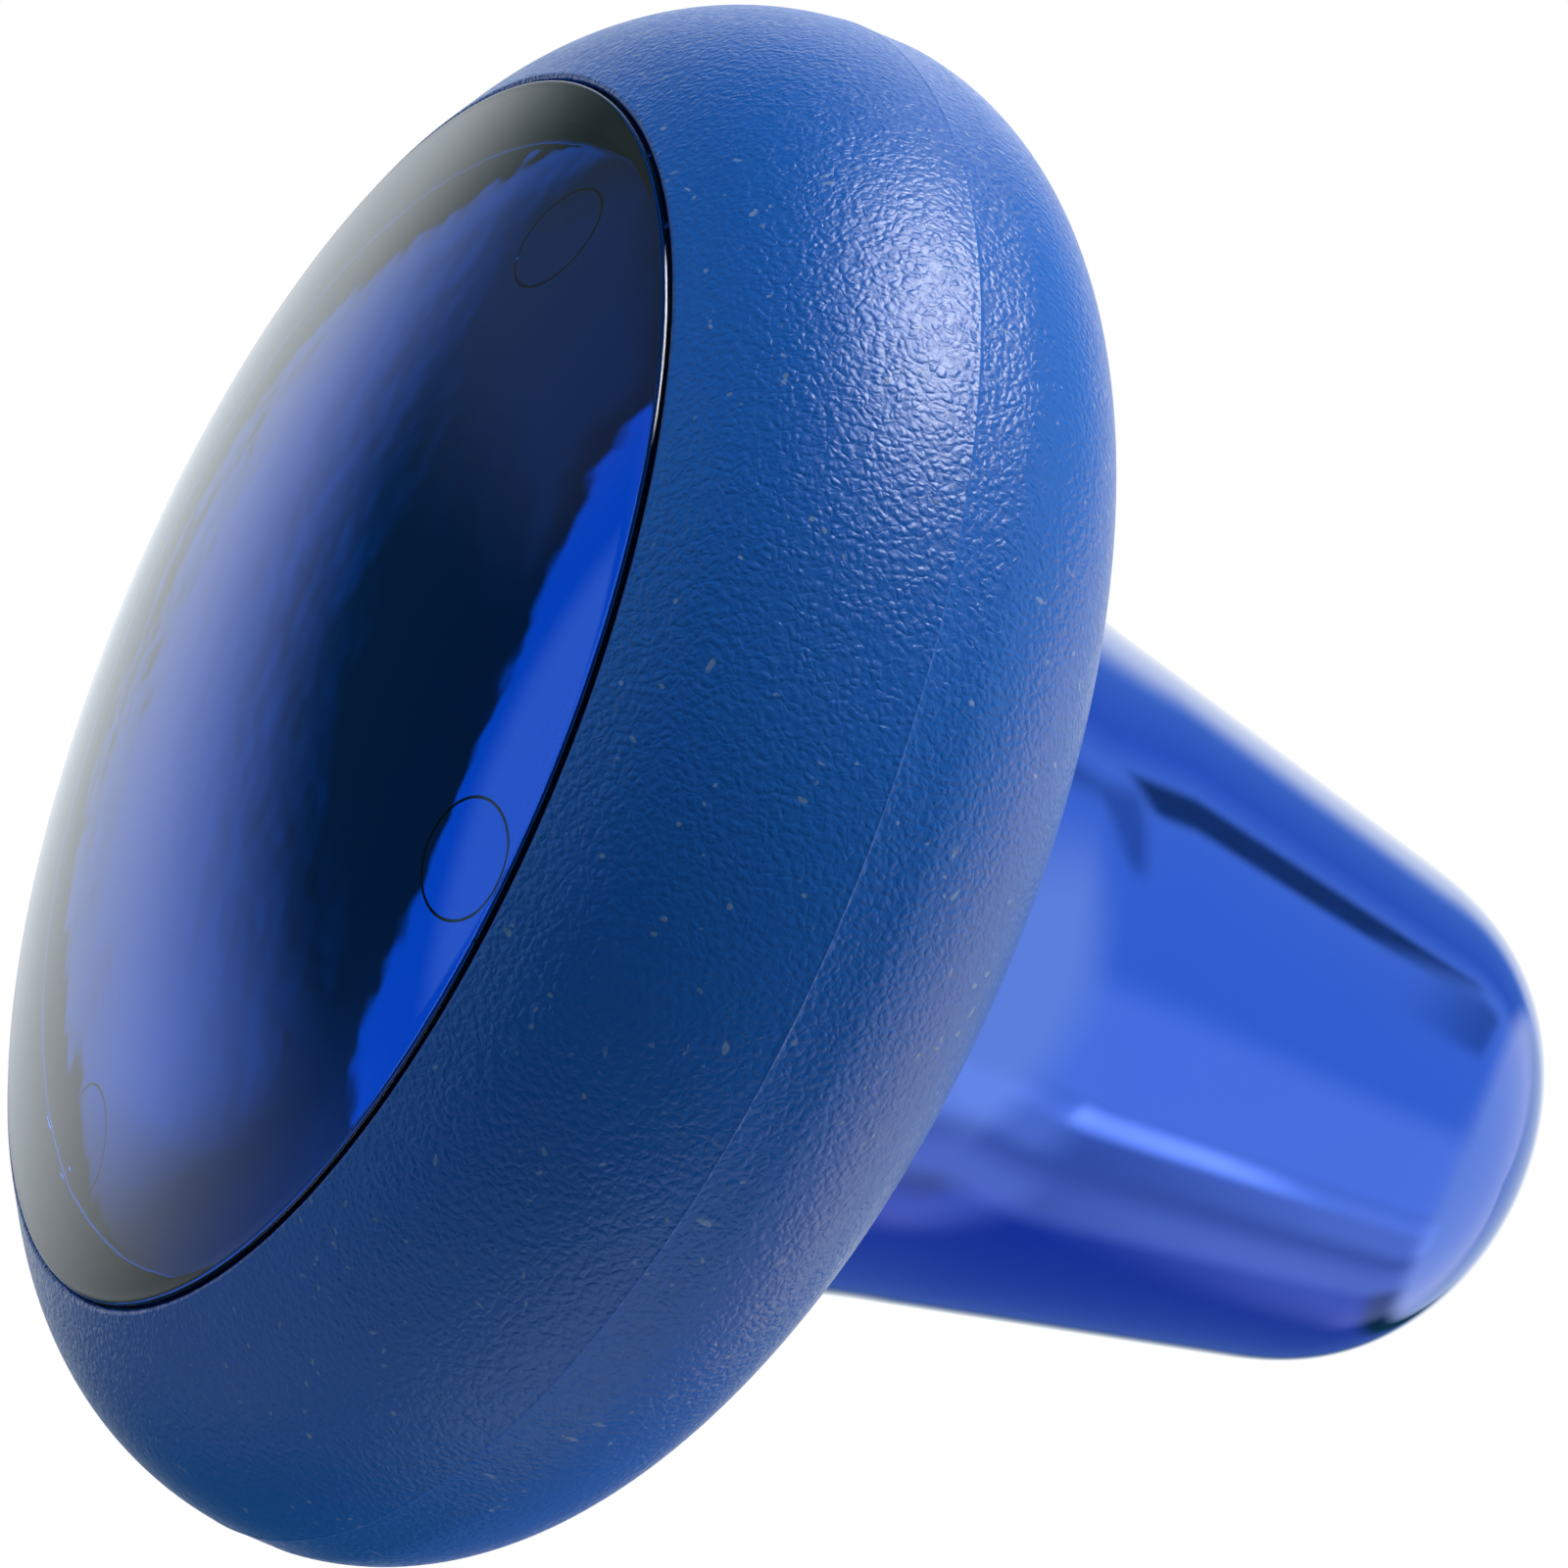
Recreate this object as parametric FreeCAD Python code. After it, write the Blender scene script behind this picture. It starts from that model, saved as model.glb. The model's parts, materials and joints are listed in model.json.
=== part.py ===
import FreeCAD, Part
import math
import os

# A palm-size curling stone: a thick clear dome that glides, with a mirror-bright disc
# bonded behind it, a rubber ring around it, and a tapered round-ended grip on the other side.
# Millimetres. The axis of revolution is Z. The origin is the middle of the small flat
# that the dome rests on, and the grip points up, towards +Z.

# Driving dimensions, outside
OUTER_R = 40.0            # widest circle of the rubber ring
WIDEST_Z = 17.6           # height of that circle
FRONT_ARC_R = 14.1        # rounding of the ring below its widest circle
BACK_ARC_R = 9.8          # rounding of the ring above it
DOME_RISE = 4.4           # height of the dome's rim above its lowest point
FLAT_R = 5.0              # small flat at the dome's lowest point, 0.1 mm deep
GRIP_TAPER = 9.6          # half angle of the grip's cone, in degrees
FLARE_TAPER = 15.6        # half angle of its flared foot, in degrees
FLARE_Z = 44.5            # height where the cone ends and the flare starts
FLARE_R = 70.0            # rounding between the two
GRIP_TOP_Z = 80.0         # far end of the grip
TIP_R = 14.86             # half width of the rounded end of the grip
TIP_RISE = 12.1           # height of that end
TIP_CORNER_R = 10.6       # its rounding beside the cone; the crown's follows from it

# Driving dimensions, inside
CAP_R = 31.4              # outer radius of the cap's skirt
CAP_WALL = 2.2            # thickness of the skirt
CAP_CENTRE = 4.5          # thickness of the clear dome on the axis
CAP_SKIRT_END = 13.4      # height of the end of the skirt
CAP_GAP = 0.15            # open seam between the cap and the rubber
EDGE_R = 0.25             # small rounding of exposed edges
RUBBER_WALL = 3.0
CARRIER_WALL = 2.4
BEZEL_PLAY = 0.1          # radial play of the skirt in the bezel
SNAP_Z = 11.2             # height of the snap bead
SNAP_RISE = 0.3
SNAP_HALF = 0.9
SEAL_R = 0.75             # half thickness of the sealing ring
FACE_R = 106.0            # radius of the face where the cap and the disc are bonded
FACE_TURN_R = 21.0        # distance from the axis where that face starts to turn up
FACE_EDGE_R = 42.0        # its radius beyond
REFLECTOR_R = 28.8
REFLECTOR_WALL = 1.6
REFLECTOR_SKIRT_R = 23.2
PIN_MARK_R = 2.7          # marks that the mould's ejector pins leave on the disc
PIN_MARK_AT = 24.3        # their distance from the axis
PIN_MARK_DEEP = 0.12
PIN_MARK_TURNS = (7.0, 103.0, 199.0, 280.0)    # their angles from +X, in degrees

SEAT_Z = 21.2             # face that the grip stands on
WEB = 2.5                 # thickness of the web under that face
FLANGE_IN_R = 23.8        # inner edge of the bezel's screw flange
FLANGE = 2.0
SCREWS = 4
SCREW_AT = 26.0           # distance of the screws from the axis
SCREW_R = 1.1
SCREW_HEAD_R = 2.1
SCREW_HEAD = 1.4
SCREW_LENGTH = 5.0
SCREW_SLOT = 0.6
SCREW_BOSS_R = 2.7

BALLAST_R = 21.0
BALLAST = 9.0             # thickness
BALLAST_SINK_R = 5.6      # counterbore for the bolt's head
BALLAST_SINK = 5.0
BOLT_R = 2.5
BOLT_HOLE_R = 2.75
BOLT_LENGTH = 20.0
BOLT_HEAD_R = 4.25
BOLT_HEAD = 5.0
BOLT_KEY = 4.0            # across the flats of the hexagon socket
BOLT_KEY_DEEP = 2.6
WASHER_R = 5.0
WASHER = 1.0

GRIP_WALL = 2.4
POST_R = 6.4              # central post inside the grip
INSERT_R = 3.5
INSERT = 9.5
GRIP_RIBS = 4
GRIP_RIB = 1.6
SPIGOT_TOP = 26.4         # top of the collar that centres the grip
SPIGOT_WALL = 2.2
SPIGOT_PLAY = 0.15
GRIP_GAP = 0.25           # open seam between the grip and the rubber

# Worked out
FRONT_CENTRE = (OUTER_R - FRONT_ARC_R, WIDEST_Z)
BACK_CENTRE = (OUTER_R - BACK_ARC_R, WIDEST_Z)
CARRIER_R = OUTER_R - RUBBER_WALL
DOME_Z = (CAP_R ** 2 + DOME_RISE ** 2 - FLAT_R ** 2) / (2 * DOME_RISE)
DOME_R = math.hypot(DOME_Z, FLAT_R)
LIP_R = CAP_R + CAP_GAP
BEZEL_BORE_R = CAP_R + BEZEL_PLAY
LEDGE_Z = CAP_SKIRT_END + 2 * SEAL_R
SEAL_AT = CAP_R - CAP_WALL / 2
TIP_Z = GRIP_TOP_Z - TIP_RISE
WEB_Z = SEAT_Z - WEB
BALLAST_Z = WEB_Z - BALLAST
WASHER_Z = BALLAST_Z + BALLAST_SINK
BOLT_SEAT_Z = WASHER_Z - WASHER
TAPER = math.radians(GRIP_TAPER)
CORNER_CENTRE = (TIP_R - TIP_CORNER_R, TIP_Z)
FACE_CENTRE = (0, CAP_CENTRE + FACE_R)
FACE_TURN = math.asin(FACE_TURN_R / FACE_R)
FACE_EDGE_CENTRE = (
    (FACE_R - FACE_EDGE_R) * math.sin(FACE_TURN),
    FACE_CENTRE[1] - (FACE_R - FACE_EDGE_R) * math.cos(FACE_TURN),
)
CROWN_R = (CORNER_CENTRE[0] ** 2 + TIP_RISE ** 2 - TIP_CORNER_R ** 2) / (2 * (TIP_RISE - TIP_CORNER_R))


def on_circle(centre, radius, degrees):
    """A point of a circle in the section plane, counted from the outward direction."""
    turn = math.radians(degrees)
    return (centre[0] + radius * math.cos(turn), centre[1] + radius * math.sin(turn))


def flare_point(taper, inset=0.0):
    """Point of the rounding above the grip's foot, where the half angle is taper."""
    touch = on_circle(CORNER_CENTRE, TIP_CORNER_R, GRIP_TAPER)
    cone_r = touch[0] + (touch[1] - FLARE_Z) * math.tan(TAPER)
    centre = on_circle((cone_r, FLARE_Z), FLARE_R, GRIP_TAPER)
    return on_circle(centre, FLARE_R + inset, 180 + taper)


def grip_radius(z, inset=0.0):
    """Radius of the grip's flared foot at a height, moved inwards by inset."""
    top = flare_point(FLARE_TAPER, inset)
    return top[0] + (top[1] - z) * math.tan(math.radians(FLARE_TAPER))


def height_on(centre, radius, r, side):
    """Height of a circle of the section at distance r: side 1 is its top, -1 its bottom."""
    return centre[1] + side * math.sqrt(radius ** 2 - (r - centre[0]) ** 2)


def tangent_point(centre, radius, point):
    """Where the lower outer tangent from a point touches a circle of the section."""
    dr = point[0] - centre[0]
    dz = point[1] - centre[1]
    away = math.hypot(dr, dz)
    turn = math.atan2(dz, dr) + math.acos(radius / away)
    return (centre[0] + radius * math.cos(turn), centre[1] + radius * math.sin(turn))


def vec(point):
    """A point (r, z) of the section as a vector in the XZ plane."""
    return FreeCAD.Vector(point[0], 0, point[1])


def line(start, end):
    return Part.LineSegment(vec(start), vec(end)).toShape()


def arc(start, middle, end):
    return Part.Arc(vec(start), vec(middle), vec(end)).toShape()


def chain(*points):
    """Straight edges through the points."""
    return [line(a, b) for a, b in zip(points, points[1:])]


def turned(edges):
    """The solid that a closed outline sweeps about Z."""
    face = Part.Face(Part.Wire(edges))
    solid = face.revolve(FreeCAD.Vector(0, 0, 0), FreeCAD.Vector(0, 0, 1), 360)
    return solid if solid.Volume > 0 else solid.reversed()


def cylinder(radius, z0, z1, x=0.0, y=0.0):
    return Part.makeCylinder(radius, z1 - z0, FreeCAD.Vector(x, y, z0))


def around(count, radius, first=0.0):
    """The places of equally spaced features on a circle."""
    for index in range(count):
        turn = math.radians(first) + 2 * math.pi * index / count
        yield (radius * math.cos(turn), radius * math.sin(turn))


def rounded(solid, radius, r, z):
    """Rounds the circular edge that lies at distance r and height z."""
    near = [
        edge for edge in solid.Edges
        if not edge.Degenerated
        and isinstance(edge.Curve, Part.Circle)
        and abs(edge.Curve.Radius - r) < 0.01
        and abs(edge.Curve.Center.z - z) < 0.01
    ]
    return solid.makeFillet(radius, near)


def bead(base_r):
    """Outline points of the snap bead, standing out from a wall at base_r."""
    return [
        (base_r, SNAP_Z - SNAP_HALF),
        (base_r + SNAP_RISE, SNAP_Z),
        (base_r, SNAP_Z + SNAP_HALF),
    ]


def face_tilt(r):
    """Angle between the bonded face and the horizontal at distance r, in degrees."""
    if r > FACE_TURN_R:
        return math.degrees(math.asin((r - FACE_EDGE_CENTRE[0]) / FACE_EDGE_R))
    return math.degrees(math.asin(r / FACE_R))


def face_arcs(inset=0.0):
    """Start, arcs and end of the bonded face from the axis out, or of a face behind it."""
    turn = face_tilt(FACE_TURN_R) - 90
    end_turn = face_tilt(REFLECTOR_R) - 90
    start = (0, CAP_CENTRE + inset)
    halfway = on_circle(FACE_CENTRE, FACE_R - inset, (turn - 90) / 2)
    middle = on_circle(FACE_CENTRE, FACE_R - inset, turn)
    edge_halfway = on_circle(FACE_EDGE_CENTRE, FACE_EDGE_R - inset, (turn + end_turn) / 2)
    end = on_circle(FACE_EDGE_CENTRE, FACE_EDGE_R - inset, end_turn)
    return start, [arc(start, halfway, middle), arc(middle, edge_halfway, end)], end


def running_cap():
    """Thick clear dome with a skirt that snaps into the bezel."""
    inner_r = CAP_R - CAP_WALL
    start, arcs, end = face_arcs()
    rim = (CAP_R, DOME_RISE)
    dome_middle = (CAP_R / 2, DOME_Z - math.sqrt(DOME_R ** 2 - CAP_R ** 2 / 4))
    edges = [line((0, 0), (FLAT_R, 0)), arc((FLAT_R, 0), dome_middle, rim)]
    edges += chain(
        rim,
        *bead(CAP_R),
        (CAP_R, CAP_SKIRT_END),
        (inner_r, CAP_SKIRT_END),
        (inner_r, end[1]),
        end,
    )
    edges += arcs[::-1] + [line(start, (0, 0))]
    return rounded(turned(edges), EDGE_R, CAP_R, DOME_RISE)


def reflector_disc():
    """Metallised disc bonded behind the cap; its skirt stands on the shell's web."""
    start, front, rim = face_arcs()
    back_start, back, back_rim = face_arcs(REFLECTOR_WALL)
    disc = turned(front + [line(rim, back_rim)] + back[::-1] + [line(back_start, start)])
    skirt_in_r = REFLECTOR_SKIRT_R - REFLECTOR_WALL
    skirt_z = (rim[1] + back_start[1]) / 2
    skirt = cylinder(REFLECTOR_SKIRT_R, skirt_z, WEB_Z)
    disc = disc.fuse(skirt.cut(cylinder(skirt_in_r, skirt_z, WEB_Z)))
    # each mark is a flat sunk face, square to the face of the disc
    tilt = math.radians(face_tilt(PIN_MARK_AT))
    mark_z = FACE_EDGE_CENTRE[1] - FACE_EDGE_R * math.cos(tilt)
    for degrees in PIN_MARK_TURNS:
        turn = math.radians(degrees)
        outwards = FreeCAD.Vector(
            math.sin(tilt) * math.cos(turn), math.sin(tilt) * math.sin(turn), -math.cos(tilt)
        )
        place = FreeCAD.Vector(
            PIN_MARK_AT * math.cos(turn), PIN_MARK_AT * math.sin(turn), mark_z
        )
        floor = place - outwards * PIN_MARK_DEEP
        disc = disc.cut(Part.makeCylinder(PIN_MARK_R, REFLECTOR_WALL, floor, outwards))
    return disc


def cap_seal():
    """Rubber ring pressed between the skirt and the bezel's ledge."""
    return Part.makeTorus(SEAL_AT, SEAL_R, FreeCAD.Vector(0, 0, LEDGE_Z - SEAL_R))


def bumper_ring():
    """Soft ring over the carrier, from the cap's seam round to the grip's seam."""
    lip = (LIP_R, DOME_RISE)
    touch = tangent_point(FRONT_CENTRE, FRONT_ARC_R, lip)
    widest = (OUTER_R, WIDEST_Z)
    inner_widest = (CARRIER_R, WIDEST_Z)
    touch_turn = math.degrees(math.atan2(touch[1] - FRONT_CENTRE[1], touch[0] - FRONT_CENTRE[0]))
    in_r = grip_radius(SEAT_Z) - 1.0
    back_end = (in_r, height_on(BACK_CENTRE, BACK_ARC_R, in_r, 1))
    inner_top = (BACK_CENTRE[0], WIDEST_Z + BACK_ARC_R - RUBBER_WALL)
    inner_front_r = FRONT_ARC_R - RUBBER_WALL
    inner_front = (LIP_R, height_on(FRONT_CENTRE, inner_front_r, LIP_R, -1))
    edges = [
        line(lip, touch),
        arc(touch, on_circle(FRONT_CENTRE, FRONT_ARC_R, touch_turn / 2), widest),
        arc(widest, on_circle(BACK_CENTRE, BACK_ARC_R, 65), back_end),
    ]
    edges += chain(back_end, (in_r, SEAT_Z), (grip_radius(SEAT_Z), SEAT_Z), inner_top)
    edges += [
        arc(inner_top, on_circle(BACK_CENTRE, BACK_ARC_R - RUBBER_WALL, 45), inner_widest),
        arc(inner_widest, on_circle(FRONT_CENTRE, inner_front_r, -30), inner_front),
        line(inner_front, lip),
    ]
    ring = rounded(turned(edges), EDGE_R, LIP_R, DOME_RISE)
    # the bore keeps an even seam along the grip's foot
    top = WIDEST_Z + BACK_ARC_R
    seam = Part.makeCone(
        grip_radius(SEAT_Z) + GRIP_GAP,
        grip_radius(top) + GRIP_GAP,
        top - SEAT_Z,
        FreeCAD.Vector(0, 0, SEAT_Z),
    )
    return ring.cut(seam)


def front_bezel():
    """Rigid ring that holds the cap and backs the front of the rubber."""
    inner_front_r = FRONT_ARC_R - RUBBER_WALL
    nose = (LIP_R, height_on(FRONT_CENTRE, inner_front_r, LIP_R, -1))
    widest = (CARRIER_R, WIDEST_Z)
    ledge_in_r = CAP_R - CAP_WALL - 1.0
    edges = [arc(nose, on_circle(FRONT_CENTRE, inner_front_r, -30), widest)]
    edges += chain(
        widest,
        (FLANGE_IN_R, WIDEST_Z),
        (FLANGE_IN_R, WIDEST_Z - FLANGE),
        (ledge_in_r, WIDEST_Z - FLANGE),
        (ledge_in_r, LEDGE_Z),
        (BEZEL_BORE_R, LEDGE_Z),
        *reversed(bead(BEZEL_BORE_R)),
        (BEZEL_BORE_R, nose[1]),
        nose,
    )
    bezel = turned(edges)
    for x, y in around(SCREWS, SCREW_AT):
        bezel = bezel.cut(cylinder(SCREW_R + 0.15, WIDEST_Z - FLANGE, WIDEST_Z, x, y))
    return bezel


def back_shell():
    """Rigid cup behind the bezel: it carries the rubber, the ballast and the grip."""
    widest = (CARRIER_R, WIDEST_Z)
    outer_r = BACK_ARC_R - RUBBER_WALL
    inner_r = outer_r - CARRIER_WALL
    outer_top = (BACK_CENTRE[0], WIDEST_Z + outer_r)
    inner_widest = (CARRIER_R - CARRIER_WALL, WIDEST_Z)
    pocket_in = (BACK_CENTRE[0] - math.sqrt(inner_r ** 2 - (WEB_Z - WIDEST_Z) ** 2), WEB_Z)
    collar_r = grip_radius(SEAT_Z, GRIP_WALL + SPIGOT_PLAY)
    collar_top_r = grip_radius(SPIGOT_TOP, GRIP_WALL + SPIGOT_PLAY)
    edges = [arc(widest, on_circle(BACK_CENTRE, outer_r, 45), outer_top)]
    edges += chain(
        outer_top,
        (grip_radius(SEAT_Z), SEAT_Z),
        (collar_r, SEAT_Z),
        (collar_top_r, SPIGOT_TOP),
        (collar_top_r - SPIGOT_WALL, SPIGOT_TOP),
        (collar_top_r - SPIGOT_WALL, SEAT_Z),
        (BOLT_HOLE_R, SEAT_Z),
        (BOLT_HOLE_R, WEB_Z),
        pocket_in,
    )
    edges.append(arc(pocket_in, on_circle(BACK_CENTRE, inner_r, 90), inner_widest))
    edges.append(line(inner_widest, widest))
    shell = turned(edges)
    for x, y in around(SCREWS, SCREW_AT):
        shell = shell.fuse(cylinder(SCREW_BOSS_R, WIDEST_Z, SEAT_Z, x, y))
    hole_top = WIDEST_Z - FLANGE + SCREW_LENGTH
    for x, y in around(SCREWS, SCREW_AT):
        shell = shell.cut(cylinder(SCREW_R, WIDEST_Z, hole_top, x, y))
    return shell


def carrier_screws():
    """Pan-head screws that close the bezel on the back shell."""
    seat = WIDEST_Z - FLANGE
    screws = []
    for x, y in around(SCREWS, SCREW_AT):
        head = cylinder(SCREW_HEAD_R, seat - SCREW_HEAD, seat, x, y)
        corner = FreeCAD.Vector(x - SCREW_HEAD_R, y - SCREW_SLOT / 2, seat - SCREW_HEAD)
        slot = Part.makeBox(2 * SCREW_HEAD_R, SCREW_SLOT, SCREW_SLOT, corner)
        shank = cylinder(SCREW_R, seat, seat + SCREW_LENGTH, x, y)
        screws.append(head.fuse(shank).cut(slot))
    return Part.makeCompound(screws)


def ballast_disc():
    """Turned steel weight on the centre bolt, whose head is sunk in it."""
    disc = cylinder(BALLAST_R, BALLAST_Z, WEB_Z)
    disc = disc.cut(cylinder(BOLT_HOLE_R, BALLAST_Z, WEB_Z))
    disc = disc.cut(cylinder(BALLAST_SINK_R, BALLAST_Z, WASHER_Z))
    disc = rounded(disc, 2 * EDGE_R, BALLAST_R, BALLAST_Z)
    return rounded(disc, 2 * EDGE_R, BALLAST_R, WEB_Z)


def bolt_washer():
    """Plain washer under the bolt's head."""
    disc = cylinder(WASHER_R, BOLT_SEAT_Z, WASHER_Z)
    return disc.cut(cylinder(BOLT_HOLE_R, BOLT_SEAT_Z, WASHER_Z))


def centre_bolt():
    """Socket-head bolt through the washer, ballast and shell into the grip."""
    head_z = BOLT_SEAT_Z - BOLT_HEAD
    head = cylinder(BOLT_HEAD_R, head_z, BOLT_SEAT_Z)
    head = rounded(head, EDGE_R, BOLT_HEAD_R, head_z)
    corner_r = BOLT_KEY / 2 / math.cos(math.pi / 6)
    points = [FreeCAD.Vector(x, y, head_z) for x, y in around(6, corner_r)]
    socket = Part.Face(Part.makePolygon(points + points[:1]))
    socket = socket.extrude(FreeCAD.Vector(0, 0, BOLT_KEY_DEEP))
    shank = cylinder(BOLT_R, BOLT_SEAT_Z, BOLT_SEAT_Z + BOLT_LENGTH)
    return head.fuse(shank).cut(socket)


def handle_insert():
    """Brass threaded bush set in the end of the grip's post."""
    return cylinder(INSERT_R, SEAT_Z, SEAT_Z + INSERT).cut(cylinder(BOLT_R, SEAT_Z, SEAT_Z + INSERT))


def grip_solid(inset, base_z):
    """The grip's outer form, or one inset in it: a flared cone under two tangent arcs."""
    corner_r = TIP_CORNER_R - inset
    crown_r = CROWN_R - inset
    crown_centre = (0, GRIP_TOP_Z - CROWN_R)
    steep = math.degrees(math.atan2(TIP_Z - crown_centre[1], CORNER_CENTRE[0]))
    touch = on_circle(CORNER_CENTRE, corner_r, GRIP_TAPER)
    blend = on_circle(CORNER_CENTRE, corner_r, steep)
    top = (0, GRIP_TOP_Z - inset)
    edges = [
        arc(touch, on_circle(CORNER_CENTRE, corner_r, (GRIP_TAPER + steep) / 2), blend),
        arc(blend, on_circle(crown_centre, crown_r, (steep + 90) / 2), top),
    ]
    foot_top = flare_point(FLARE_TAPER, inset)
    cone_end = flare_point(GRIP_TAPER, inset)
    edges += chain(top, (0, base_z), (grip_radius(base_z, inset), base_z), foot_top)
    edges += [
        arc(foot_top, flare_point((GRIP_TAPER + FLARE_TAPER) / 2, inset), cone_end),
        line(cone_end, touch),
    ]
    return turned(edges)


def handle_shell():
    """Hollow grip with a ribbed central post for the insert."""
    bolt_end = BOLT_SEAT_Z + BOLT_LENGTH
    cavity = grip_solid(GRIP_WALL, SEAT_Z)
    keep = cylinder(POST_R, SEAT_Z, GRIP_TOP_Z)
    rib_base = SPIGOT_TOP + 0.4
    for index in range(GRIP_RIBS // 2):
        rib = Part.makeBox(
            2 * OUTER_R, GRIP_RIB, GRIP_TOP_Z - rib_base,
            FreeCAD.Vector(-OUTER_R, -GRIP_RIB / 2, rib_base),
        )
        rib.rotate(FreeCAD.Vector(0, 0, 0), FreeCAD.Vector(0, 0, 1), 45 + 360 / GRIP_RIBS * index)
        keep = keep.fuse(rib)
    grip = grip_solid(0.0, SEAT_Z).cut(cavity.cut(keep))
    grip = grip.cut(cylinder(INSERT_R, SEAT_Z, SEAT_Z + INSERT))
    return grip.cut(cylinder(BOLT_HOLE_R, SEAT_Z + INSERT, bolt_end + 1.0))


NODES = {
    "running_cap": running_cap,
    "reflector_disc": reflector_disc,
    "cap_seal": cap_seal,
    "bumper_ring": bumper_ring,
    "front_bezel": front_bezel,
    "back_shell": back_shell,
    "carrier_screws": carrier_screws,
    "ballast_disc": ballast_disc,
    "bolt_washer": bolt_washer,
    "centre_bolt": centre_bolt,
    "handle_insert": handle_insert,
    "handle_shell": handle_shell,
}

os.makedirs("parts", exist_ok=True)
for name, make in NODES.items():
    shape = make()
    shape.exportStep(f"parts/{name}.step")
    print(name, len(shape.Solids), round(shape.Volume), shape.isValid())
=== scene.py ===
import json
import math
import bmesh
import bpy
from mathutils import Matrix, Vector


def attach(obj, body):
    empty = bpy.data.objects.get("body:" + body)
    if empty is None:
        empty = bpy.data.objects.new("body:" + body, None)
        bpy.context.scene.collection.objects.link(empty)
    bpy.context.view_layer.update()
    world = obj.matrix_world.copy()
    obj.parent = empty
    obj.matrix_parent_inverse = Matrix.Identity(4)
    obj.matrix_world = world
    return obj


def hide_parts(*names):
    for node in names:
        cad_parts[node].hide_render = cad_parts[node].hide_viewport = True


# Looks of the palm-size curling stone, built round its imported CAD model.
# Metres, in the CAD frame: Z is the axis, the dome is at the bottom, the grip at the top.

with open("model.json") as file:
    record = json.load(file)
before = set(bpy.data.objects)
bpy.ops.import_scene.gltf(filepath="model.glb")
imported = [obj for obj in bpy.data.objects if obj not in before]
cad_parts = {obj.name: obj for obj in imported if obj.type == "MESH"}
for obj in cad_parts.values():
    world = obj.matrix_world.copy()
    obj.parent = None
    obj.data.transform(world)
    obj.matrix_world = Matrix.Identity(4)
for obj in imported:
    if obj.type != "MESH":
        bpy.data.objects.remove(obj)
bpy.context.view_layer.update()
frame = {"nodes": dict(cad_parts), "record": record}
MM = 0.001
TURN_STEPS = 384  # steps round the axis in every turned piece
BODY = "root"


# ---------------------------------------------------------------- turned shapes

def on_circle(centre, radius, degrees):
    """The point of a circle in the section plane, its angle measured from outward."""
    turn = math.radians(degrees)
    return (centre[0] + radius * math.cos(turn), centre[1] + radius * math.sin(turn))


def arc(centre, radius, start, end, steps):
    """Points of a circle from one angle to another, both in degrees."""
    return [on_circle(centre, radius, start + (end - start) * i / steps) for i in range(steps + 1)]


def turned(name, outline, closed=True):
    """A mesh that an outline of (radius, height) points in mm sweeps about Z."""
    mesh = bmesh.new()
    rows = []
    for r, z in outline:
        if r < 1e-6:
            rows.append([mesh.verts.new((0, 0, z * MM))])
            continue
        row = []
        for i in range(TURN_STEPS):
            turn = 2 * math.pi * i / TURN_STEPS
            row.append(mesh.verts.new((r * math.cos(turn) * MM, r * math.sin(turn) * MM, z * MM)))
        rows.append(row)
    pairs = list(zip(rows, rows[1:]))
    if closed:
        pairs.append((rows[-1], rows[0]))
    for low, high in pairs:
        for i in range(TURN_STEPS):
            j = (i + 1) % TURN_STEPS
            corners = [low[i % len(low)], low[j % len(low)], high[j % len(high)], high[i % len(high)]]
            corners = list(dict.fromkeys(corners))  # a row on the axis has one point
            if len(corners) > 2:
                mesh.faces.new(corners)
    bmesh.ops.recalc_face_normals(mesh, faces=mesh.faces)
    data = bpy.data.meshes.new(name)
    mesh.to_mesh(data)
    mesh.free()
    piece = bpy.data.objects.new(name, data)
    bpy.context.collection.objects.link(piece)
    smooth(piece)
    return piece


def smooth(piece, angle=28):
    """Smooth shading that keeps edges sharper than angle."""
    bpy.context.view_layer.objects.active = piece
    for other in bpy.context.selected_objects:
        other.select_set(False)
    piece.select_set(True)
    bpy.ops.object.shade_smooth_by_angle(angle=math.radians(angle))


# ---------------------------------------------------------------- materials

class Nodes:
    """Short ways to add nodes to the tree of one material or world."""

    def __init__(self, owner):
        self.owner = owner
        owner.use_nodes = True
        self.tree = owner.node_tree

    def add(self, kind, **settings):
        node = self.tree.nodes.new(kind)
        for key, value in settings.items():
            setattr(node, key, value)
        return node

    def put(self, value, socket):
        """Link an output to a socket, or give the socket a plain value."""
        if isinstance(value, bpy.types.NodeSocket):
            self.tree.links.new(value, socket)
        else:
            socket.default_value = value

    def fill(self, node, **values):
        """Give a node's inputs their values by name, underscores for spaces."""
        for key, value in values.items():
            self.put(value, node.inputs[key.replace("_", " ")])

    def line_up(self, node, *values):
        """Give a node's first inputs their values in order."""
        for socket, value in zip(node.inputs, values):
            self.put(value, socket)
        return node.outputs[0]

    def math(self, operation, *values):
        return self.line_up(self.add("ShaderNodeMath", operation=operation), *values)

    def vector_math(self, operation, *values):
        return self.line_up(self.add("ShaderNodeVectorMath", operation=operation), *values)

    def ramp(self, value, low, high, to_low=0.0, to_high=1.0):
        node = self.add("ShaderNodeMapRange", interpolation_type="SMOOTHSTEP")
        self.fill(node, Value=value, From_Min=low, From_Max=high, To_Min=to_low, To_Max=to_high)
        return node.outputs["Result"]


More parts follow.
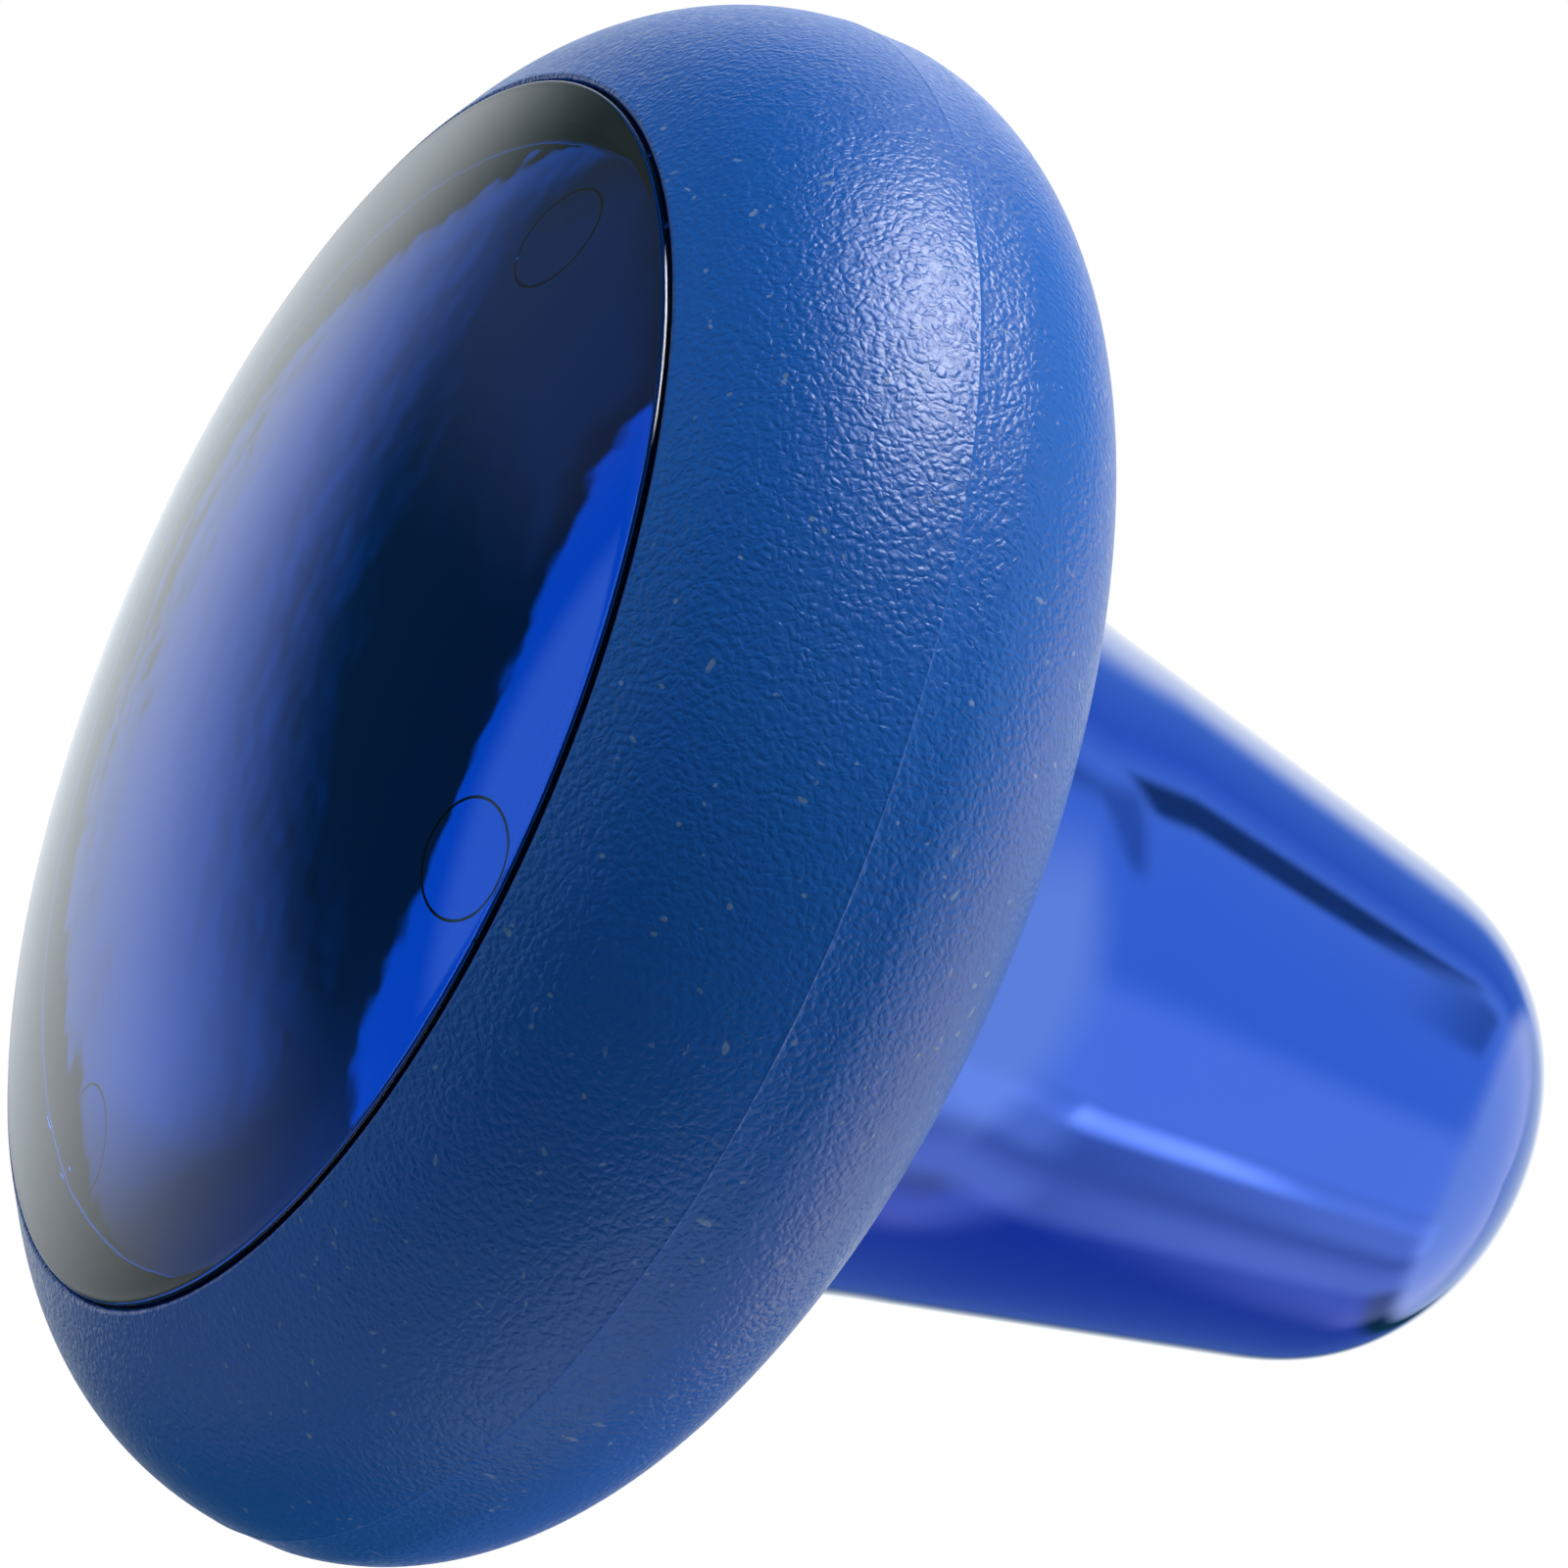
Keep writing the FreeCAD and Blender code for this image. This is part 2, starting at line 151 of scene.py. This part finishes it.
class Look(Nodes):
    """The nodes of a new material, with its shader and its object coordinates."""

    def __init__(self, name):
        super().__init__(bpy.data.materials.new(name))
        self.shader = self.tree.nodes["Principled BSDF"]
        self.place = self.add("ShaderNodeTexCoord").outputs["Object"]

    def noise(self, scale, detail=3.0):
        node = self.add("ShaderNodeTexNoise")
        self.fill(node, Scale=scale, Detail=detail, Roughness=0.5, Vector=self.place)
        return node.outputs["Fac"]

    def cells(self, scale, feature="F1", vector=None):
        node = self.add("ShaderNodeTexVoronoi", feature=feature)
        self.fill(node, Scale=scale, Vector=vector or self.place)
        return node.outputs["Distance"]

    def mix(self, factor, a, b):
        node = self.add("ShaderNodeMix", data_type="RGBA")
        factor_socket, a_socket, b_socket = node.inputs[0], node.inputs[6], node.inputs[7]
        self.put(factor, factor_socket)
        self.put(a, a_socket)
        self.put(b, b_socket)
        return node.outputs[2]

    def bump(self, height, distance, strength=1.0):
        node = self.add("ShaderNodeBump")
        self.fill(node, Height=height, Distance=distance, Strength=strength)
        return node.outputs["Normal"]


def rgb(*colour):
    return (*colour, 1.0)


def clear_plastic():
    """Clear plastic, its polish a little uneven."""
    n = Look("clear_cap")
    n.fill(
        n.shader,
        Base_Color=rgb(0.97, 0.98, 1.0),
        Transmission_Weight=1.0,
        IOR=1.45,
        Roughness=n.ramp(n.noise(220, 5), 0.45, 0.75, 0.0, 0.035),
    )
    return n.owner


def blue_mirror():
    """Blue mirror coating, slightly wavy."""
    n = Look("blue_mirror")
    n.fill(
        n.shader,
        Base_Color=n.mix(n.noise(60, 3), rgb(0.001, 0.060, 0.38), rgb(0.002, 0.070, 0.43)),
        Metallic=1.0,
        Roughness=n.ramp(n.noise(400, 4), 0.3, 0.8, 0.015, 0.05),
        Normal=n.bump(n.noise(110, 3), 0.00009),
    )
    return n.owner


def rubber():
    """Leather-grained rubber with pale dust specks and short lint fibres on it."""
    n = Look("bumper_rubber")
    wobble = n.add("ShaderNodeTexNoise")
    n.fill(wobble, Scale=900.0, Detail=2.0, Vector=n.place)
    reach = (0.0006, 0.0006, 0.0006)
    bent = n.vector_math("MULTIPLY_ADD", wobble.outputs["Color"], reach, n.place)
    pebble = n.ramp(n.cells(2700, vector=bent), 0.1, 0.75, 1.0, 0.0)
    crease = n.ramp(n.cells(2200, "DISTANCE_TO_EDGE", bent), 0.0, 0.25)
    fine = n.noise(7000, 3)
    height = n.math("ADD", n.math("MULTIPLY", pebble, 0.6), n.math("MULTIPLY", crease, 0.25))
    height = n.math("ADD", height, n.math("MULTIPLY", fine, 0.35))
    blotch = n.mix(n.noise(70, 4), rgb(0.012, 0.125, 0.50), rgb(0.018, 0.148, 0.59))
    lint = n.ramp(n.cells(420), 0.055, 0.075, 1.0, 0.0)
    for scale, seed in (((900, 260, 900), 3.1), ((260, 900, 700), 7.7), ((700, 800, 240), 12.4)):
        stretch = n.add("ShaderNodeMapping")
        n.fill(stretch, Vector=bent, Location=(seed, seed * 1.7, seed * 0.6), Scale=scale)
        fibre = n.ramp(n.cells(1.0, vector=stretch.outputs[0]), 0.075, 0.1, 1.0, 0.0)
        lint = n.math("MAXIMUM", lint, fibre)
    patchy = n.ramp(n.noise(260, 2), 0.46, 0.54)
    dust = n.math("MULTIPLY", n.math("MULTIPLY", lint, patchy), 0.55)
    n.fill(
        n.shader,
        Base_Color=n.mix(dust, blotch, rgb(0.34, 0.42, 0.58)),
        Roughness=n.ramp(n.noise(2400, 3), 0.3, 0.7, 0.27, 0.37),
        Specular_IOR_Level=0.5,
        Normal=n.bump(height, 0.00005, 0.8),
    )
    return n.owner


def grip_coat():
    """Blue metallised plastic under a clear lacquer."""
    n = Look("grip_plastic")
    n.fill(
        n.shader,
        Base_Color=n.mix(n.noise(45, 3), rgb(0.003, 0.085, 0.58), rgb(0.006, 0.10, 0.63)),
        Metallic=1.0,
        Roughness=n.ramp(n.noise(300, 4), 0.3, 0.8, 0.05, 0.10),
        Specular_Tint=rgb(0.7, 0.85, 1.0),
        Coat_Weight=1.0,
        Coat_Roughness=0.035,
        Coat_IOR=1.5,
        Normal=n.bump(n.noise(55, 2), 0.00003),
    )
    return n.owner


def dark_band():
    """Matt and nearly black: painted shade seen through the edge of the cap, where it looks into its
    dark inside.
    """
    n = Look("dark_band")
    n.fill(
        n.shader,
        Base_Color=n.mix(n.noise(120, 3), rgb(0.002, 0.003, 0.006), rgb(0.004, 0.006, 0.012)),
        Roughness=n.ramp(n.noise(500, 3), 0.3, 0.7, 0.55, 0.75),
        Specular_IOR_Level=0.2,
    )
    return n.owner


def inner_material(name, colour, metallic, roughness, scale):
    """Material of a piece that the clear cap or a cut-away would show."""
    n = Look(name)
    darker = rgb(*[0.75 * c for c in colour])
    n.fill(
        n.shader,
        Base_Color=n.mix(n.noise(scale, 4), darker, rgb(*colour)),
        Metallic=metallic,
        Roughness=n.ramp(n.noise(scale * 3, 3), 0.3, 0.7, roughness * 0.8, roughness * 1.2),
        Normal=n.bump(n.noise(scale * 4, 3), 0.00002, 0.5),
    )
    return n.owner


def paint(piece, material):
    piece.data.materials.clear()
    piece.data.materials.append(material)


# ---------------------------------------------------------------- pieces

# Sizes in mm. Heights (_Z) are measured from the lowest point of the dome.
OUTER_R = 40.0  # widest circle of the rubber ring
WIDEST_Z = 17.6
FRONT_ARC_R = 14.1
BACK_ARC_R = 9.8
BACK_ARC_END = 128  # degrees from the widest circle to the grip's bore
BORE_BEVEL = 1.2  # how much wider the bore is at the grip's foot
RUBBER_WALL = 3.0
INNER_ARC_END = -59  # degrees from the widest circle to the lip, inside the wall
LIP_R = 31.5
LIP_INNER_Z = 8.1
PARTING_Z = 15.0  # where the halves of the ring's mould meet
PARTING_RIDGE = ((0.025, 0.05), (0.012, 0.11), (0.01, 0.16))  # outward and up from there

DOME_R = 114.24  # radius of the sphere that the dome is a piece of
DOME_RISE = 4.4  # height of the dome's edge
CAP_R = 31.4
CAP_CENTRE = 4.5  # thickness of the clear dome on the axis
CAP_SKIRT_END = 13.4
CAP_SKIRT_IN = 29.2
BAND_RIM = 0.9  # thickness of the band where it reaches in to the disc
BAND_START_Z = 5.0
EDGE_R = 0.25  # rounding of the cap's edge and of the ring's lip
SUNK = 0.04  # how far the bonded pieces reach into the clear dome

FACE_R = 106.0  # face between the clear dome and the disc
FACE_TURN_R = 21.0  # from here out the face rises more steeply
FACE_EDGE_R = 42.0  # its radius there
REFLECTOR_R = 28.8
REFLECTOR_WALL = 1.6
REFLECTOR_SKIRT_R = 23.2
REFLECTOR_BASE_Z = 18.7
PIN_MARK_R = 2.7
PIN_MARK_AT = 24.3  # distance of the marks from the axis
PIN_MARK_TURNS = (7.0, 103.0, 199.0, 280.0)
PIN_MARK_SECTION = ((-0.09, -0.02), (0.0, 0.07), (0.09, -0.02))  # out from its circle, up
PIN_MARK_STEPS = 96

GRIP_TAPER = 9.6  # degrees a side
GRIP_BASE_Z = 21.2
GRIP_TOP_Z = 80.0
GRIP_WALL = 2.4
FLARE_TAPER = 15.6  # the same, at the grip's foot
FLARE_Z = 44.5  # where the flared foot has become the straight side
FLARE_R = 70.0  # radius of the rounding between the two
TIP_R = 14.86  # widest reach of the end's corner arc
TIP_RISE = 12.1  # from that arc's centre up to the top
TIP_CORNER_R = 10.6
EASE = 3.0  # how gradually the grip's side rolls into its end


def finish_piece(piece, material, node):
    paint(piece, material)
    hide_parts(node)
    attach(piece, BODY)
    return piece


def face_tilt(r):
    """Angle of the bonded face at distance r, in radians."""
    turn_sin = FACE_TURN_R / FACE_R
    if r <= FACE_TURN_R:
        return math.asin(r / FACE_R)
    return math.asin(turn_sin + (r - FACE_TURN_R) / FACE_EDGE_R)


def face_point(r, inset=0.0):
    """The point of the bonded face that is at distance r, moved back by inset."""
    tilt = face_tilt(r)
    turn = face_tilt(FACE_TURN_R)
    z = CAP_CENTRE + FACE_R * (1 - math.cos(min(tilt, turn)))
    if r > FACE_TURN_R:
        z += FACE_EDGE_R * (math.cos(turn) - math.cos(tilt))
    return (r - inset * math.sin(tilt), z + inset * math.cos(tilt))


def face_row(r_start, r_end, steps, inset=0.0):
    return [face_point(r_start + (r_end - r_start) * i / steps, inset) for i in range(steps + 1)]


def make_cap():
    """The clear dome, closed behind by the face that the disc is bonded to."""

    def dome_z(r):
        return DOME_R - math.sqrt(DOME_R ** 2 - r ** 2)

    side_z = face_point(REFLECTOR_R)[1] + SUNK
    edge = math.degrees(math.asin(CAP_R / DOME_R))
    corner_r = CAP_R - EDGE_R
    outline = [(corner_r * i / 70, dome_z(corner_r * i / 70)) for i in range(71)]
    corner = (corner_r, dome_z(corner_r) + EDGE_R)
    outline += arc(corner, EDGE_R, -90 + edge, 0, 10)[1:]
    outline += [(CAP_R, side_z), (REFLECTOR_R + SUNK, side_z)]
    outline += [(r, z + SUNK) for r, z in face_row(REFLECTOR_R, 0, 80)]
    piece = turned("running_cap_clear", outline, closed=False)
    return finish_piece(piece, clear_plastic(), "running_cap")


def make_cap_edge():
    """The skirt and a nearly black band round the clear dome: painted shade for the cap's edge."""
    flange_z = face_point(REFLECTOR_R)[1]
    outer_r = CAP_R + SUNK
    inner_r = CAP_R - 2 * SUNK
    outline = [
        (inner_r, BAND_START_Z),
        (inner_r, flange_z),
        (REFLECTOR_R - SUNK, flange_z),
        (REFLECTOR_R - SUNK, flange_z + BAND_RIM),
        (CAP_SKIRT_IN, flange_z + BAND_RIM),
        (CAP_SKIRT_IN, CAP_SKIRT_END),
        (outer_r, CAP_SKIRT_END),
        (outer_r, BAND_START_Z),
    ]
    # A nearly black band: painted shade round the edge of the clear dome.
    piece = turned("cap_edge_painted_shade_band", outline)
    return finish_piece(piece, dark_band(), "running_cap")


def mark_ring(mesh, degrees):
    """A fine raised ring round one ejector-pin mark, lying on the disc's face."""
    turn = math.radians(degrees)
    tilt = face_tilt(PIN_MARK_AT)
    out = Vector((math.cos(turn), math.sin(turn), 0))
    across = Vector((-math.sin(turn), math.cos(turn), 0))
    along = out * math.cos(tilt) + Vector((0, 0, math.sin(tilt)))
    centre = out * PIN_MARK_AT
    rings = []
    for width, lift in PIN_MARK_SECTION:
        ring = []
        for i in range(PIN_MARK_STEPS):
            angle = 2 * math.pi * i / PIN_MARK_STEPS
            radius = PIN_MARK_R + width
            place = centre + (along * math.cos(angle) + across * math.sin(angle)) * radius
            r = math.hypot(place.x, place.y)
            r_new, z = face_point(min(r, REFLECTOR_R), -lift)
            ring.append(mesh.verts.new((place.x * r_new / r * MM, place.y * r_new / r * MM, z * MM)))
        rings.append(ring)
    for low, high in zip(rings, rings[1:] + rings[:1]):
        for i in range(PIN_MARK_STEPS):
            j = (i + 1) % PIN_MARK_STEPS
            mesh.faces.new((low[i], low[j], high[j], high[i]))


def make_reflector():
    """The mirror disc with its skirt, and the rings round its pin marks."""
    skirt_in = REFLECTOR_SKIRT_R - REFLECTOR_WALL
    outline = face_row(0, REFLECTOR_R, 90)
    outline += face_row(REFLECTOR_R, REFLECTOR_SKIRT_R, 6, REFLECTOR_WALL)
    outline += [(REFLECTOR_SKIRT_R, REFLECTOR_BASE_Z), (skirt_in, REFLECTOR_BASE_Z)]
    outline += face_row(skirt_in, 0, 40, REFLECTOR_WALL)
    piece = turned("reflector_face", outline, closed=False)
    mesh = bmesh.new()
    mesh.from_mesh(piece.data)
    for degrees in PIN_MARK_TURNS:
        mark_ring(mesh, degrees)
    bmesh.ops.recalc_face_normals(mesh, faces=mesh.faces)
    mesh.to_mesh(piece.data)
    mesh.free()
    smooth(piece)
    return finish_piece(piece, blue_mirror(), "reflector_disc")


def make_ring():
    """The rubber ring: a rounded lip, the front arc to the parting line, the back arc."""
    front = (OUTER_R - FRONT_ARC_R, WIDEST_Z)
    back = (OUTER_R - BACK_ARC_R, WIDEST_Z)
    away = (LIP_R - front[0], DOME_RISE - front[1])
    turn = math.degrees(math.atan2(away[1], away[0]) + math.acos(FRONT_ARC_R / math.hypot(*away)))
    touch = on_circle(front, FRONT_ARC_R, turn)
    slope = math.atan2(touch[1] - DOME_RISE, touch[0] - LIP_R)
    lip = (LIP_R + EDGE_R, DOME_RISE + EDGE_R * (math.tan(slope) + 1 / math.cos(slope)))
    outline = arc(lip, EDGE_R, 180, 270 + math.degrees(slope), 12)
    parting = math.degrees(math.asin((PARTING_Z - WIDEST_Z) / FRONT_ARC_R))
    outline += arc(front, FRONT_ARC_R, turn, parting, 70)
    seam_r, seam_z = outline[-1]
    outline += [(seam_r + out, seam_z + up) for out, up in PARTING_RIDGE]
    ridge_r, ridge_z = outline[-1]
    for share in (0.06, 0.15, 0.3, 0.5, 0.75, 1.0):
        outline.append((ridge_r + (OUTER_R - ridge_r) * share, ridge_z + (WIDEST_Z - ridge_z) * share))
    outline += arc(back, BACK_ARC_R, 0, BACK_ARC_END, 70)[1:]
    bore_r = outline[-1][0]
    outline += [(bore_r + BORE_BEVEL, GRIP_BASE_Z)]
    outline += arc(back, BACK_ARC_R - RUBBER_WALL, 90, 0, 20)
    outline += arc(front, FRONT_ARC_R - RUBBER_WALL, 0, INNER_ARC_END, 20)[1:]
    outline += [(LIP_R, LIP_INNER_Z)]
    piece = turned("bumper_ring_rubber", outline)
    return finish_piece(piece, rubber(), "bumper_ring")


def eased_corner(corner, radius, steps=40):
    """The straight side rolled gradually into the corner arc, over EASE each way.

    Each point is the mean of the plain outline over a window of EASE on both sides.
    """

    def plain(along):
        angle = math.radians(GRIP_TAPER) + max(along, 0.0) / TIP_CORNER_R
        down = max(-along, 0.0) * radius / TIP_CORNER_R
        return (
            corner[0] + radius * math.cos(angle) + down * math.sin(angle),
            corner[1] + radius * math.sin(angle) - down * math.cos(angle),
        )

    window = [EASE * ((2 * i + 1) / steps - 1) for i in range(steps)]
    rows = []
    for step in range(steps + 1):
        middle = EASE * (2 * step / steps - 1)
        near = [plain(middle + offset) for offset in window]
        rows.append(tuple(sum(values) / steps for values in zip(*near)))
    return rows


def grip_outline(inset):
    """Half section of the grip from its foot to the axis, moved inward by inset."""
    corner = (TIP_R - TIP_CORNER_R, GRIP_TOP_Z - TIP_RISE)
    reach = EASE / TIP_CORNER_R
    shrink = math.sin(reach) / reach
    eased_r = TIP_CORNER_R * shrink
    crown_r = (corner[0] ** 2 + TIP_RISE ** 2 - eased_r ** 2) / (2 * (TIP_RISE - eased_r))
    crown = (0, GRIP_TOP_Z - crown_r)
    steep = math.degrees(math.atan2(corner[1] - crown[1], corner[0]))
    round_end = eased_corner(corner, (eased_r - inset) / shrink)
    round_end += arc(corner, eased_r - inset, GRIP_TAPER + math.degrees(reach), steep, 30)[1:]
    round_end += arc(crown, crown_r - inset, steep, 90, 30)[1:]
    touch = round_end[0]
    tan = math.tan(math.radians(GRIP_TAPER))
    outer_touch = on_circle(corner, TIP_CORNER_R, GRIP_TAPER)
    cone_end = (outer_touch[0] + (outer_touch[1] - FLARE_Z) * tan, FLARE_Z)
    centre = on_circle(cone_end, FLARE_R, GRIP_TAPER)
    rounding = arc(centre, FLARE_R + inset, 180 + FLARE_TAPER, 180 + GRIP_TAPER, 24)
    low, high = rounding[0], rounding[-1]
    foot_tan = math.tan(math.radians(FLARE_TAPER))
    rows = [GRIP_BASE_Z + (low[1] - GRIP_BASE_Z) * i / 16 for i in range(16)]
    foot = [(low[0] + (low[1] - z) * foot_tan, z) for z in rows]
    side = [
        (high[0] + (touch[0] - high[0]) * i / 24, high[1] + (touch[1] - high[1]) * i / 24)
        for i in range(1, 24)
    ]
    return foot + rounding + side + round_end


def make_grip():
    outline = grip_outline(0.0) + grip_outline(GRIP_WALL)[::-1]
    piece = turned("grip_shell", outline)
    return finish_piece(piece, grip_coat(), "handle_shell")


make_cap()
make_cap_edge()
make_reflector()
make_ring()
make_grip()

# Material slot: colour, metallic, roughness, scale of the noise.
INNER = {
    "carrier_plastic": ((0.012, 0.013, 0.018), 0.0, 0.5, 300),
    "seal_rubber": ((0.02, 0.02, 0.02), 0.0, 0.6, 500),
    "screw_steel": ((0.55, 0.55, 0.57), 1.0, 0.3, 700),
    "ballast_steel": ((0.42, 0.42, 0.44), 1.0, 0.35, 400),
    "insert_brass": ((0.75, 0.55, 0.25), 1.0, 0.3, 600),
}
inner = {name: inner_material(name, *look) for name, look in INNER.items()}
for entry in frame["record"]["subparts"]:
    if entry["material_slot"] in inner:
        paint(frame["nodes"][entry["node"]], inner[entry["material_slot"]])


# ---------------------------------------------------------------- studio

FLOOR_Z = -0.45
# Soft light zones: middle azimuth (from +Y towards +X), half width and its softness; lower
# elevation, its softness and how far it drops per degree of azimuth; upper elevation and its
# softness, all in degrees; colour. A negative colour is a dark card in front of the others.
ZONES = {
    "backdrop": (-20, 42, 18, -11.5, 25, -0.55, 28, 12, (0.97, 1.00, 1.06)),
    "key_softbox": (-100, 17, 8, -20, 12, 0, 11, 8, (16.0, 16.0, 16.5)),
    "overhead_far": (0, 60, 40, 58, 4, 0, 95, 1, (0.82, 0.82, 0.80)),
    "overhead_near": (180, 120, 40, 59, 6, 0, 95, 1, (1.75, 1.40, 1.06)),
    "overhead_side": (92, 22, 16, 48.5, 5, 0, 59, 6, (0.42, 0.32, 0.28)),
    "upper_left": (-12, 33, 18, 25, 12, 0, 58, 4, (1.0, 0.95, 0.92)),
    "panel": (-125, 42, 18, 30, 10, 0, 59, 6, (0.50, 0.70, 0.92)),
    "panel_left": (-64, 19, 16, 30, 10, 0, 59, 6, (0.16, 0.30, 0.66)),
    "dark_card": (-94, 6, 6, 36, 2, 0, 50.5, 2, (-0.44, -0.62, -0.80)),
    "dark_rim": (-109, 15, 12, 52.4, 1.5, -0.10, 55.2, 2, (-0.26, -0.36, -0.44)),
    "side_fill": (112, 28, 20, -8, 16, 0, 30, 12, (0.72, 0.76, 0.82)),
    "side_high": (120, 23, 12, 30, 10, 0, 59, 6, (0.50, 0.43, 0.50)),
    "side_blue": (62, 36, 14, 28, 10, 0, 53, 4, (0.07, 0.09, 0.38)),
    "front_high": (168, 25, 18, 33, 14, 0, 59, 6, (1.10, 1.04, 1.10)),
    "streak": (142.5, 4, 7, 50, 4, 0, 53.8, 1.6, (2.0, 1.5, 1.2)),
    "streak_foot": (133, 11, 12, 52.5, 5, 0, 61, 4, (0.55, 0.45, 0.35)),
    "low_left": (-26, 14, 10, -47, 6, 0, -20, 14, (0.11, 0.10, 0.10)),
    "low_right": (80, 46, 50, -52, 14, 0, -8, 16, (0.26, 0.26, 0.28)),
    "under": (0, 60, 16, -95, 2, 0, -51, 2.5, (0.36, 0.70, 1.20)),
}
DIM = (0.015, 0.075, 0.085)  # what is left between the zones


def build_world():
    """White to the camera, soft light zones to everything else."""
    world = bpy.data.worlds.new("studio")
    bpy.context.scene.world = world
    n = Nodes(world)
    n.tree.nodes.clear()
    split = n.add("ShaderNodeSeparateXYZ")
    n.put(n.add("ShaderNodeTexCoord").outputs["Generated"], split.inputs[0])
    x, y, z = split.outputs
    to_degrees = 180 / math.pi
    az = n.math("MULTIPLY", n.math("ARCTAN2", x, y), to_degrees)
    el = n.math("MULTIPLY", n.math("ARCSINE", z), to_degrees)

    def past(value, place, softness):
        """0 below place and 1 above it, with a soft step between."""
        return n.ramp(value, place - softness / 2, place + softness / 2)

    total = n.line_up(n.add("ShaderNodeCombineXYZ"), *DIM)  # the light's colour
    for middle, half, soft, low, soft_low, drop, high, soft_high, colour in ZONES.values():
        turn = n.math("WRAP", n.math("SUBTRACT", az, middle), -180.0, 180.0)
        across = n.math("SUBTRACT", 1.0, past(n.math("ABSOLUTE", turn), half, soft))
        above = past(n.math("SUBTRACT", el, n.math("MULTIPLY", turn, drop)), low, soft_low)
        below = n.math("SUBTRACT", 1.0, past(el, high, soft_high))
        mask = n.math("MULTIPLY", across, n.math("MULTIPLY", above, below))
        total = n.vector_math("MULTIPLY_ADD", mask, colour, total)
    zones = n.add("ShaderNodeBackground")
    n.fill(zones, Color=n.vector_math("MAXIMUM", total, (0.0, 0.0, 0.0)))
    white = n.add("ShaderNodeBackground")
    n.fill(white, Color=rgb(1.0, 1.0, 1.0))
    to_camera = n.add("ShaderNodeLightPath").outputs["Is Camera Ray"]
    shown = n.line_up(n.add("ShaderNodeMixShader"), to_camera, zones.outputs[0], white.outputs[0])
    n.fill(n.add("ShaderNodeOutputWorld"), Surface=shown)
    world.cycles.sampling_method = "MANUAL"
    world.cycles.sample_map_resolution = 1024


def build_floor():
    """Pale floor far below, so that the camera can look up at the dome."""
    mesh = bmesh.new()
    bmesh.ops.create_grid(mesh, x_segments=1, y_segments=1, size=4.0)
    data = bpy.data.meshes.new("floor")
    mesh.to_mesh(data)
    mesh.free()
    floor = bpy.data.objects.new("floor", data)
    floor.location.z = FLOOR_Z
    bpy.context.collection.objects.link(floor)
    n = Look("floor_paint")
    n.fill(
        n.shader,
        Base_Color=n.mix(n.noise(3, 2), rgb(0.82, 0.82, 0.83), rgb(0.86, 0.86, 0.86)),
        Roughness=0.7,
    )
    paint(floor, n.owner)
    floor.visible_glossy = False
    floor.visible_diffuse = False
    floor.visible_transmission = False


CAMERA_AT = (0.0, -0.18279, -0.06305)
CAMERA_HEADING = 2.562  # degrees from +Y towards +X
CAMERA_PITCH = 27.243  # degrees upwards
CAMERA_ROLL = 111.521
CAMERA_LENS = 91.65  # mm, on a sensor of CAMERA_SENSOR
CAMERA_SENSOR = 36
CAMERA_SHIFT = (0.05625, 0.15)


def build_camera():
    data = bpy.data.cameras.new("photo_camera")
    data.lens = CAMERA_LENS
    data.sensor_width = CAMERA_SENSOR
    data.shift_x, data.shift_y = CAMERA_SHIFT
    data.clip_start = 0.01
    camera = bpy.data.objects.new("photo_camera", data)
    bpy.context.collection.objects.link(camera)
    turn = Matrix.Rotation(-math.radians(CAMERA_HEADING), 4, "Z")
    turn @= Matrix.Rotation(math.radians(90 + CAMERA_PITCH), 4, "X")
    turn @= Matrix.Rotation(math.radians(CAMERA_ROLL), 4, "Z")
    camera.matrix_world = Matrix.Translation(Vector(CAMERA_AT)) @ turn
    bpy.context.scene.camera = camera


build_world()
build_floor()
build_camera()
bpy.context.scene.view_settings.view_transform = "Standard"
